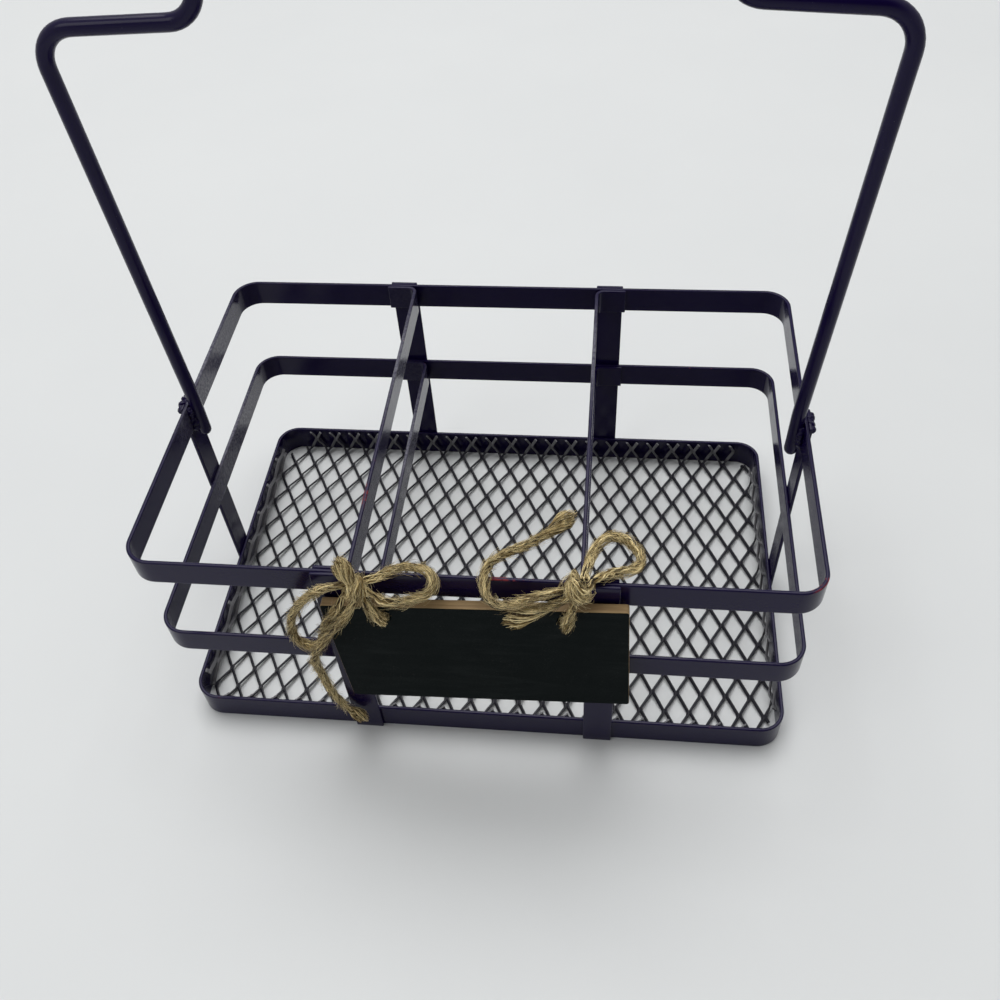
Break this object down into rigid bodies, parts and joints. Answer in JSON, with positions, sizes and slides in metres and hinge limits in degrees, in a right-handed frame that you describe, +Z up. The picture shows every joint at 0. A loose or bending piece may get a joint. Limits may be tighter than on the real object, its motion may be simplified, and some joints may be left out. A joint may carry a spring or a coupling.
{
  "type": "condiment caddy",
  "caption": "Welded steel-strip condiment caddy with divided bays, an expanded-metal floor, a stepped wire handle and a small chalkboard sign hung from the top ring on jute twine.",
  "frame": {"origin": "middle of the base rim, on the table", "axes": "+X to the right seen from the sign's side, +Y from the sign to the back, +Z up along the handle"},
  "size_m": [0.2107, 0.1456, 0.2522],
  "materials": {
    "frame_paint": "dark aubergine-navy satin paint over red, worn along the edges",
    "mesh_paint": "dark grey-navy paint on sheared expanded metal",
    "sign": "matt black chalk face on a pale wooden board",
    "jute": "loosely twisted natural jute, hairy"
  },
  "bodies": {
    "frame": {"base_rim": "frame_paint", "base_mesh": "mesh_paint", "mesh_lip": "mesh_paint", "mid_ring": "frame_paint", "top_ring": "frame_paint", "front_left_upright": "frame_paint", "front_right_upright": "frame_paint", "back_left_upright": "frame_paint", "back_right_upright": "frame_paint", "left_upright": "frame_paint", "right_upright": "frame_paint", "top_left_divider": "frame_paint", "top_right_divider": "frame_paint", "mid_left_divider": "frame_paint", "mid_right_divider": "frame_paint", "handle": "frame_paint", "left_tie": "jute", "left_knot": "jute", "left_inner_loop": "jute", "left_outer_loop": "jute", "left_tail": "jute", "right_tie": "jute", "right_knot": "jute", "right_loop": "jute", "right_tail": "jute", "right_short_end": "jute"},
    "sign": {"sign_board": "sign"}
  },
  "joints": [
    {"name": "sign_swing", "type": "hinge", "parent": "frame", "child": "sign", "pos_m": [0.0024, -0.0685, 0.08093], "axis": [-0.999, 0, -0.0436], "range_deg": [0, 60], "deforming": ["left_tie", "right_tie", "left_outer_loop", "left_tail", "right_short_end"]}
  ]
}
